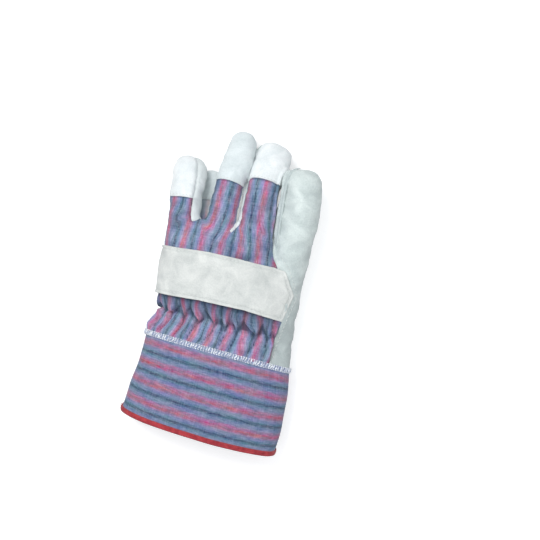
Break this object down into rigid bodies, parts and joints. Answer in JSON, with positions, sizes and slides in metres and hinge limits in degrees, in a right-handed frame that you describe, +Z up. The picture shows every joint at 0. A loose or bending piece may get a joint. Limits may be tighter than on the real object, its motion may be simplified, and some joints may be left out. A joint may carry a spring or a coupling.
{
  "type": "leather palm work glove",
  "caption": "Left-hand work glove with split-leather palm, thumb, fingertips and knuckle strap, a gathered striped cotton back and a stiff flared cuff with a bound hem.",
  "frame": {"origin": "centre of the glove's outline seen from above, on the surface that the palm lies on", "axes": "+Y from the cuff to the fingertips, +X to the thumb's side, +Z up out of the back of the hand"},
  "size_m": [0.1271, 0.2448, 0.0498],
  "materials": {
    "split_leather": "undyed split leather with a short matt nap",
    "striped_cotton": "woven cotton with lengthwise blue, pink and navy stripes, matt",
    "striped_cuff_cotton": "stiffened woven cotton with crosswise blue, pink and navy stripes, matt",
    "binding_tape": "red folded binding tape, matt",
    "overlock_thread": "white overlock thread"
  },
  "bodies": {
    "root": {"palm": "split_leather", "index_front": "split_leather", "thumb_back": "split_leather", "thumb_welt": "split_leather", "fingertip_little": "split_leather", "fingertip_ring": "split_leather", "fingertip_middle": "split_leather", "fingertip_index": "split_leather", "knuckle_strap": "split_leather", "back": "striped_cotton", "cuff": "striped_cuff_cotton", "cuff_binding": "binding_tape", "cuff_seam_band": "overlock_thread"}
  },
  "joints": []
}
